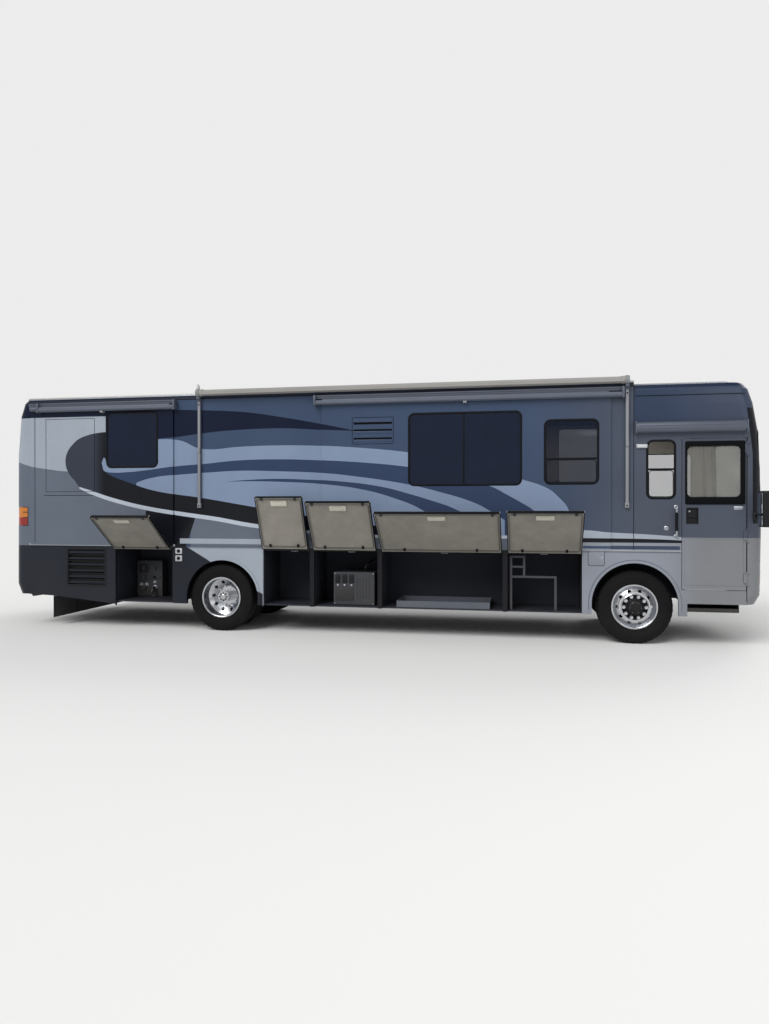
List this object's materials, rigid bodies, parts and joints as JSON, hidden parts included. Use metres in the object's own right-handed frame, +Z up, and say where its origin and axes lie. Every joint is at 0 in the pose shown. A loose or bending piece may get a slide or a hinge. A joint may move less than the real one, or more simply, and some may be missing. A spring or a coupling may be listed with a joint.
{
  "type": "motorhome",
  "caption": "Long bus-shaped motorhome with a flat front, slide-out rooms, roll-up awnings, hinged storage bays, a side entry door and twin rear wheels.",
  "frame": {"origin": "on the ground, at the middle of the part's box in length and in width", "axes": "+X to the front of the vehicle, +Y to its left, +Z up"},
  "size_m": [10.9298, 3.5882, 3.605],
  "materials": {
    "aluminium": "polished",
    "awning_metal": "satin",
    "black_plastic": "matt",
    "body_silver": "gloss light silver",
    "body_slate": "gloss slate grey",
    "cast_iron": "rough",
    "dark_glass": "tinted",
    "door_inner": "satin beige grey",
    "lamp_glass": "clear",
    "painted_steel_black": "satin black",
    "roof_white": "satin off-white",
    "rubber_sheet": "matt",
    "seat_leather": "soft tan",
    "tyre": "matt"
  },
  "bodies": {
    "coach": {"chassis_frame": "painted_steel_black", "engine": "cast_iron", "radiator": "aluminium", "tanks": "black_plastic", "mud_flap": "rubber_sheet", "front_axle": "cast_iron", "rear_axle": "cast_iron", "floor_deck": "roof_white", "right_wall": "body_slate", "left_wall": "body_slate", "roof": "roof_white", "roof_vents": "roof_white", "front_cap": "body_slate", "rear_cap": "body_slate", "windscreen": "dark_glass", "side_windows": "dark_glass", "right_lower_panels": "body_silver", "left_lower_panels": "body_silver", "storage_bays": "black_plastic", "bay_fittings": "body_silver", "wheel_wells": "black_plastic", "right_slide_rooms": "body_slate", "awnings": "awning_metal", "entry_step": "painted_steel_black", "mirrors": "black_plastic", "lamps": "lamp_glass", "tow_receiver": "painted_steel_black", "cab_seats": "seat_leather", "dashboard": "black_plastic"},
    "knuckle_left": {"knuckle_left": "cast_iron"},
    "front_wheel_left": {"front_wheel_left": "aluminium", "front_tyre_left": "tyre"},
    "rear_wheels_left": {"rear_wheels_left": "aluminium", "rear_tyres_left": "tyre"},
    "knuckle_right": {"knuckle_right": "cast_iron"},
    "front_wheel_right": {"front_wheel_right": "aluminium", "front_tyre_right": "tyre"},
    "rear_wheels_right": {"rear_wheels_right": "aluminium", "rear_tyres_right": "tyre"},
    "right_bay_door_1": {"right_bay_door_1": "door_inner"},
    "right_bay_door_2": {"right_bay_door_2": "door_inner"},
    "right_bay_door_3": {"right_bay_door_3": "door_inner"},
    "right_bay_door_4": {"right_bay_door_4": "door_inner"},
    "right_bay_door_5": {"right_bay_door_5": "door_inner"},
    "left_bay_door_1": {"left_bay_door_1": "door_inner"},
    "left_bay_door_2": {"left_bay_door_2": "door_inner"},
    "left_bay_door_3": {"left_bay_door_3": "door_inner"},
    "left_bay_door_4": {"left_bay_door_4": "door_inner"},
    "entry_door": {"entry_door": "body_slate", "entry_door_window": "dark_glass"},
    "engine_hatch": {"engine_hatch": "body_slate"},
    "left_slide": {"left_slide_room": "body_slate", "left_slide_windows": "dark_glass"}
  },
  "joints": [
    {"name": "steer_left", "type": "hinge", "parent": "coach", "child": "knuckle_left", "pos_m": [3.776, 1.064, 0.49], "axis": [0, 0, 1], "range_deg": [-35, 35]},
    {"name": "front_wheel_spin_left", "type": "hinge", "parent": "knuckle_left", "child": "front_wheel_left", "pos_m": [3.776, 1.204, 0.49], "axis": [0, 1, 0], "continuous": true},
    {"name": "rear_wheel_spin_left", "type": "hinge", "parent": "coach", "child": "rear_wheels_left", "pos_m": [-2.015, 1.074, 0.49], "axis": [0, 1, 0], "continuous": true},
    {"name": "steer_right", "type": "hinge", "parent": "coach", "child": "knuckle_right", "pos_m": [3.776, -0.736, 0.49], "axis": [0, 0, 1], "range_deg": [-35, 35]},
    {"name": "front_wheel_spin_right", "type": "hinge", "parent": "knuckle_right", "child": "front_wheel_right", "pos_m": [3.776, -0.876, 0.49], "axis": [0, 1, 0], "continuous": true},
    {"name": "rear_wheel_spin_right", "type": "hinge", "parent": "coach", "child": "rear_wheels_right", "pos_m": [-2.015, -0.746, 0.49], "axis": [0, 1, 0], "continuous": true},
    {"name": "right_bay_hinge_1", "type": "hinge", "parent": "coach", "child": "right_bay_door_1", "pos_m": [-3.212, -1.119, 1.222], "axis": [-1, 0, 0], "range_deg": [-127, 33]},
    {"name": "right_bay_hinge_2", "type": "hinge", "parent": "coach", "child": "right_bay_door_2", "pos_m": [-0.9975, -1.119, 1.222], "axis": [-1, 0, 0], "range_deg": [-157, 3]},
    {"name": "right_bay_hinge_3", "type": "hinge", "parent": "coach", "child": "right_bay_door_3", "pos_m": [-0.127, -1.119, 1.222], "axis": [-1, 0, 0], "range_deg": [-147, 13]},
    {"name": "right_bay_hinge_4", "type": "hinge", "parent": "coach", "child": "right_bay_door_4", "pos_m": [1.2255, -1.119, 1.222], "axis": [-1, 0, 0], "range_deg": [-132, 28]},
    {"name": "right_bay_hinge_5", "type": "hinge", "parent": "coach", "child": "right_bay_door_5", "pos_m": [2.609, -1.119, 1.222], "axis": [-1, 0, 0], "range_deg": [-133, 27]},
    {"name": "left_bay_hinge_1", "type": "hinge", "parent": "coach", "child": "left_bay_door_1", "pos_m": [-3.212, 1.447, 1.222], "axis": [1, 0, 0], "range_deg": [0, 150]},
    {"name": "left_bay_hinge_2", "type": "hinge", "parent": "coach", "child": "left_bay_door_2", "pos_m": [-0.6415, 1.447, 1.222], "axis": [1, 0, 0], "range_deg": [0, 150]},
    {"name": "left_bay_hinge_3", "type": "hinge", "parent": "coach", "child": "left_bay_door_3", "pos_m": [0.924, 1.447, 1.222], "axis": [1, 0, 0], "range_deg": [0, 150]},
    {"name": "left_bay_hinge_4", "type": "hinge", "parent": "coach", "child": "left_bay_door_4", "pos_m": [2.4415, 1.447, 1.222], "axis": [1, 0, 0], "range_deg": [0, 150]},
    {"name": "entry_door_hinge", "type": "hinge", "parent": "coach", "child": "entry_door", "pos_m": [5.126, -1.119, 1.7], "axis": [0, 0, 1], "range_deg": [0, 95]},
    {"name": "engine_hatch_hinge", "type": "hinge", "parent": "coach", "child": "engine_hatch", "pos_m": [-5.447, 0.164, 1.563], "axis": [0, 1, 0], "range_deg": [0, 90]},
    {"name": "left_slide_out", "type": "slide", "parent": "coach", "child": "left_slide", "axis": [0, -1, 0], "range_m": [-0.7, 0]}
  ],
  "couplings": [
    {"joint": "steer_right", "follows": "steer_left", "ratio": 1}
  ]
}
